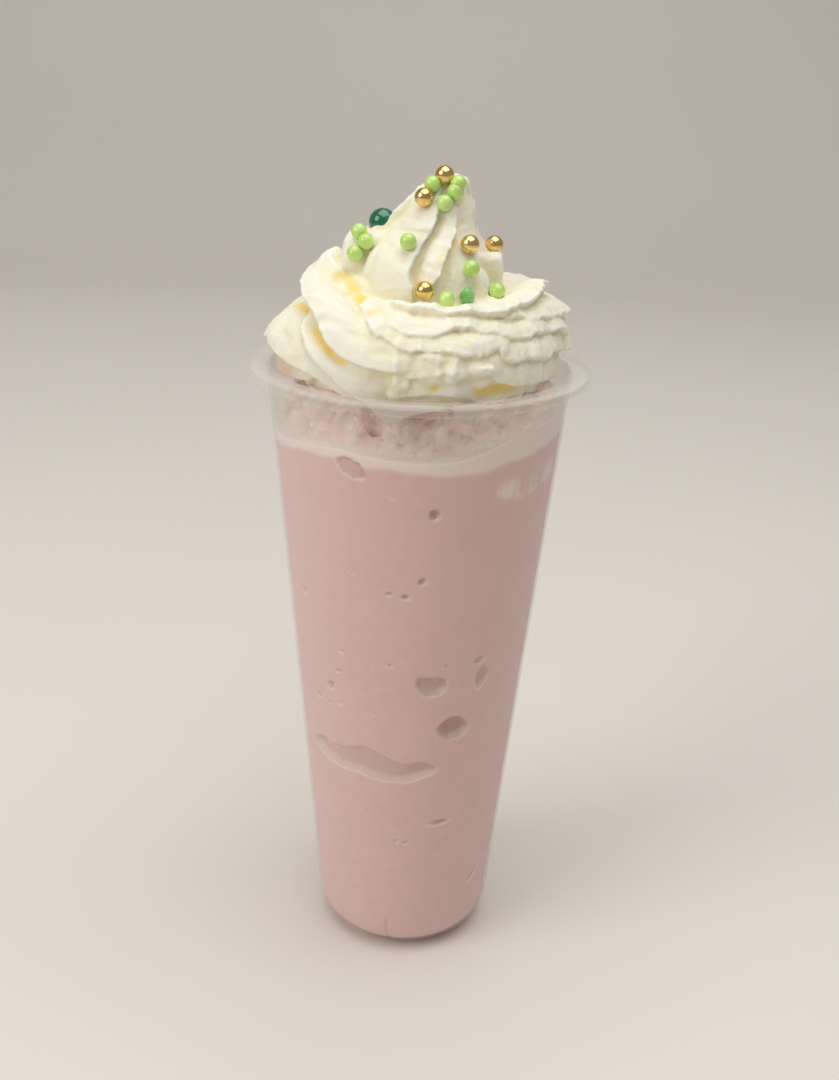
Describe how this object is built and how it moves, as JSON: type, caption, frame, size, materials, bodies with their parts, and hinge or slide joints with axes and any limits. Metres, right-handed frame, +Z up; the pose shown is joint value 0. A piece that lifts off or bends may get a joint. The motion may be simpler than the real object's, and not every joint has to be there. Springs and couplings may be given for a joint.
{
  "type": "bubble tea cup with whipped cream",
  "caption": "Tall clear cup with a rounded foot, filled with pale pink frozen drink and topped with a piped swirl of whipped cream and sugar pearls.",
  "frame": {"origin": "on the cup's axis, in the plane it stands on", "axes": "+Z up along the cup's axis, -Y towards the front of the drink, +X to its right"},
  "size_m": [0.095, 0.095, 0.233],
  "materials": {
    "clear_cup": "clear, glossy, faintly milky",
    "pink_slush": "opaque frozen drink, wet against the wall",
    "whipped_cream": "soft satin",
    "green_ball": "high gloss",
    "gold_pearl": "polished",
    "green_pearl": "pearl gloss",
    "sugar_crystal": "faceted, translucent"
  },
  "bodies": {
    "root": {"cup": "clear_cup", "drink": "pink_slush", "cream": "whipped_cream", "ball": "green_ball"}
  },
  "joints": []
}
